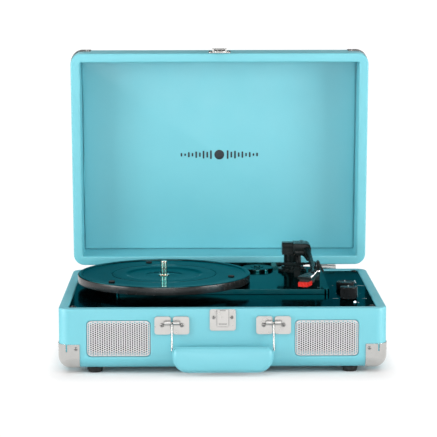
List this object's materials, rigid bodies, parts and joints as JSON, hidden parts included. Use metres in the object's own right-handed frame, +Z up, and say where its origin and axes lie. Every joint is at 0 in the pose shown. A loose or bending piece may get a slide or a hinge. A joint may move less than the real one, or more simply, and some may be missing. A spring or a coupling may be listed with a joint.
{
  "type": "suitcase record player",
  "caption": "Portable suitcase record player with a hinged lid, belt-driven platter, pivoted tone arm with cue lift, front speakers, controls and rear sockets.",
  "frame": {"origin": "middle of the footprint's bounding box on the floor, with the lid open at 85.5 degrees and the handle hanging", "axes": "+X to the right as seen from the front, +Y from the front to the back, +Z up"},
  "size_m": [0.3556, 0.3233, 0.3394],
  "materials": {
    "case_vinyl": "pale turquoise grained vinyl wrap",
    "grip_vinyl": "pale turquoise grained vinyl over foam",
    "deck_plastic": "gloss black moulding",
    "platter_gloss": "gloss black",
    "black_screw": "blackened steel",
    "arm_plastic": "semi-gloss black",
    "cartridge_black": "matte black",
    "knob_black": "semi-gloss black",
    "stylus_red": "red moulding",
    "nickel": "nickel plate, soft shine",
    "spindle_steel": "turned steel",
    "hinge_steel": "plated steel",
    "rubber_black": "matte rubber",
    "brass_part": "sintered or turned brass",
    "motor_tin": "zinc-plated can",
    "slider_acetal": "white acetal",
    "board_green": "green laminate with parts",
    "speaker_black": "black pressed steel",
    "cone_paper": "black paper",
    "magnet_iron": "ferrite and steel",
    "grille_silver": "silver perforated sheet",
    "jack_black": "black moulding",
    "jack_metal": "plated",
    "wire_red": "PVC wire",
    "lamp_lens": "clear lens",
    "pot_metal": "plated steel"
  },
  "bodies": {
    "base": {"base_case": "case_vinyl", "deck_plate": "deck_plastic", "deck_screws": "black_screw", "chassis": "deck_plastic", "chassis_grommets": "rubber_black", "spindle": "spindle_steel", "platter_clip": "spindle_steel", "motor_can": "motor_tin", "drive_belt": "rubber_black", "speed_switch": "cartridge_black", "arm_base": "arm_plastic", "cue_guide": "arm_plastic", "arm_rest": "arm_plastic", "control_bodies": "pot_metal", "power_lamp": "lamp_lens", "amp_board": "board_green", "speaker_frames": "speaker_black", "speaker_cones": "cone_paper", "speaker_magnets": "magnet_iron", "grilles": "grille_silver", "jack_panel": "jack_black", "jack_sockets": "jack_metal", "wiring_loom": "wire_red", "rubber_feet": "rubber_black", "corner_caps": "nickel", "case_screws": "nickel", "latch_keeper": "nickel", "base_hinge_leaves": "hinge_steel", "hinge_pins": "hinge_steel", "handle_brackets": "nickel"},
    "lid": {"lid_case": "case_vinyl", "lid_corner_caps": "nickel", "lid_hinge_leaves": "hinge_steel", "lid_screws": "nickel", "latch_plate": "nickel"},
    "hasp": {"latch_hasp": "nickel"},
    "handle": {"handle_loops": "nickel", "handle_grip": "grip_vinyl"},
    "platter": {"platter": "platter_gloss", "platter_bush": "brass_part", "platter_pads": "rubber_black"},
    "motor": {"motor_rotor": "spindle_steel", "motor_pulley": "brass_part"},
    "arm_swivel": {"arm_shaft": "spindle_steel", "arm_yoke": "arm_plastic", "arm_pivot_pin": "spindle_steel"},
    "arm": {"arm_tube": "arm_plastic", "counterweight": "arm_plastic", "headshell": "arm_plastic", "finger_lift": "nickel", "cartridge": "cartridge_black", "stylus": "stylus_red"},
    "cue_lever": {"cue_lever": "arm_plastic"},
    "cue_lift": {"cue_lift": "arm_plastic"},
    "rest_clip": {"arm_rest_clip": "arm_plastic"},
    "volume": {"volume_knob": "knob_black"},
    "selector": {"selector_knob": "knob_black"},
    "speed": {"speed_lever": "arm_plastic"},
    "autostop": {"autostop_slider": "slider_acetal"},
    "adapter": {"adapter_45": "deck_plastic"}
  },
  "joints": [
    {"name": "lid_hinge", "type": "hinge", "parent": "base", "child": "lid", "pos_m": [0, 0.11844, 0.0732], "axis": [-1, 0, 0], "range_deg": [-85.5, 12.5]},
    {"name": "hasp_flip", "type": "hinge", "parent": "lid", "child": "hasp", "pos_m": [0, 0.10846, 0.33763], "axis": [-1, 0, 0], "range_deg": [0, 110]},
    {"name": "handle_swing", "type": "hinge", "parent": "base", "child": "handle", "pos_m": [0, -0.14556, 0.057], "axis": [-1, 0, 0], "range_deg": [0, 120]},
    {"name": "platter_spin", "type": "hinge", "parent": "base", "child": "platter", "pos_m": [-0.0655, 0.00154, 0.087], "axis": [0, 0, 1], "continuous": true},
    {"name": "motor_spin", "type": "hinge", "parent": "base", "child": "motor", "pos_m": [0.0085, 0.02854, 0.08], "axis": [0, 0, 1], "continuous": true},
    {"name": "arm_swing", "type": "hinge", "parent": "base", "child": "arm_swivel", "pos_m": [0.086, 0.07304, 0.097], "axis": [0, 0, -1], "range_deg": [0, 48]},
    {"name": "arm_raise", "type": "hinge", "parent": "arm_swivel", "child": "arm", "pos_m": [0.086, 0.07304, 0.105], "axis": [-1, 0, 0], "range_deg": [0, 6]},
    {"name": "cue_lever_turn", "type": "hinge", "parent": "base", "child": "cue_lever", "pos_m": [0.0892, 0.02804, 0.0855], "axis": [-1, 0, 0], "range_deg": [0, 40]},
    {"name": "cue_lift_rise", "type": "slide", "parent": "base", "child": "cue_lift", "axis": [0, 0, 1], "range_m": [0, 0.0035]},
    {"name": "arm_clip_turn", "type": "hinge", "parent": "base", "child": "rest_clip", "pos_m": [0.1122, 0.00704, 0.0976], "axis": [0, -1, 0], "range_deg": [0, 240]},
    {"name": "volume_turn", "type": "hinge", "parent": "base", "child": "volume", "pos_m": [0.1404, -0.07896, 0.078], "axis": [0, 0, -1], "range_deg": [0, 300]},
    {"name": "selector_turn", "type": "hinge", "parent": "base", "child": "selector", "pos_m": [0.1417, -0.01696, 0.075], "axis": [0, 0, -1], "range_deg": [0, 60]},
    {"name": "speed_slide", "type": "slide", "parent": "base", "child": "speed", "axis": [0, -1, 0], "range_m": [0, 0.008]},
    {"name": "autostop_slide", "type": "slide", "parent": "base", "child": "autostop", "axis": [-1, 0, 0], "range_m": [0, 0.004]},
    {"name": "adapter_lift", "type": "slide", "parent": "base", "child": "adapter", "axis": [0, 0, 1], "range_m": [0, 0.02]}
  ],
  "couplings": [
    {"joint": "motor_spin", "follows": "platter_spin", "ratio": 18.456},
    {"joint": "arm_raise", "follows": "arm_swing", "ratio": 0.12},
    {"joint": "cue_lift_rise", "follows": "cue_lever_turn", "m_per_rad": 0.00487}
  ]
}
